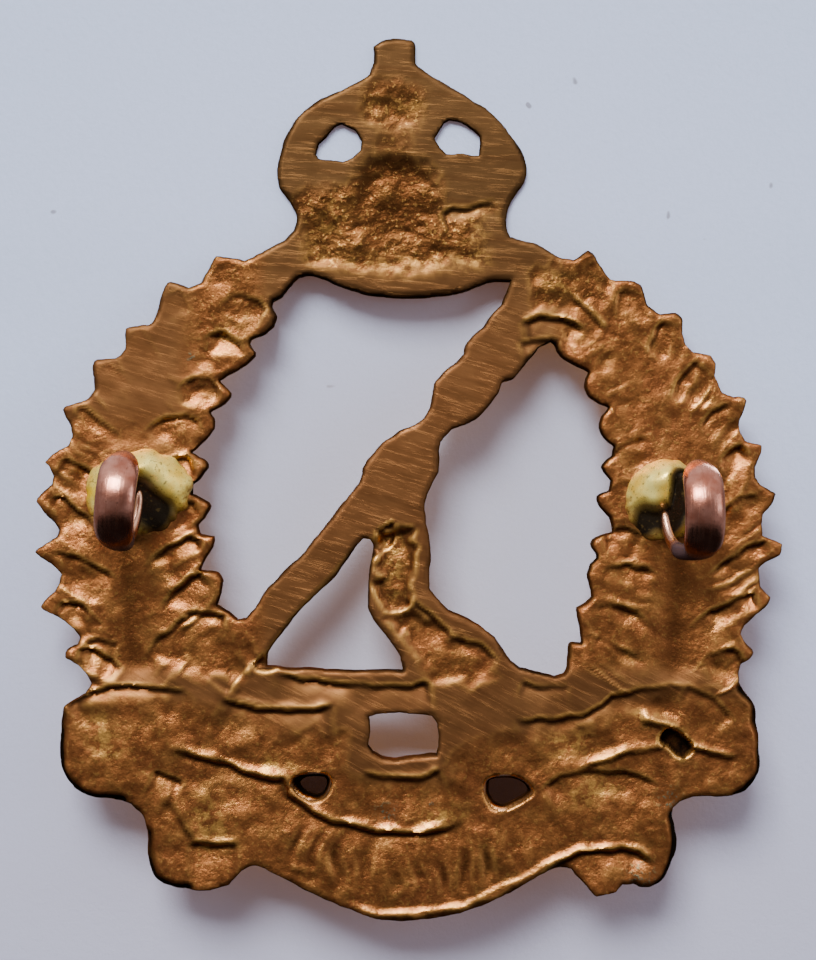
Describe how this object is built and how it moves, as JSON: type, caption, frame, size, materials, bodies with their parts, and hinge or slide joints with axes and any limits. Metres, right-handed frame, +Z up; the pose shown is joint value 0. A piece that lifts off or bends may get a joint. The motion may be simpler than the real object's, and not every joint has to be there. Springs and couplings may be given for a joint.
{
  "type": "cap badge",
  "caption": "Pierced brass cap badge with a crown over a laurel wreath, blank ribbons and copper wire lugs brazed to its back for a split pin.",
  "frame": {"origin": "on the filed back face, midway between the lugs and level with them", "axes": "+Z up to the crown as worn, +Y out of the back towards the cap, the struck face towards -Y"},
  "size_m": [0.0408, 0.0077, 0.048],
  "materials": {
    "badge_brass": "toned, filed flat behind",
    "lug_copper": "satin copper",
    "brazing_brass": "pale yellow, as cooled"
  },
  "bodies": {
    "root": {"badge_plate": "badge_brass", "lug_left": "lug_copper", "lug_right": "lug_copper", "braze_left": "brazing_brass", "braze_right": "brazing_brass"}
  },
  "joints": []
}
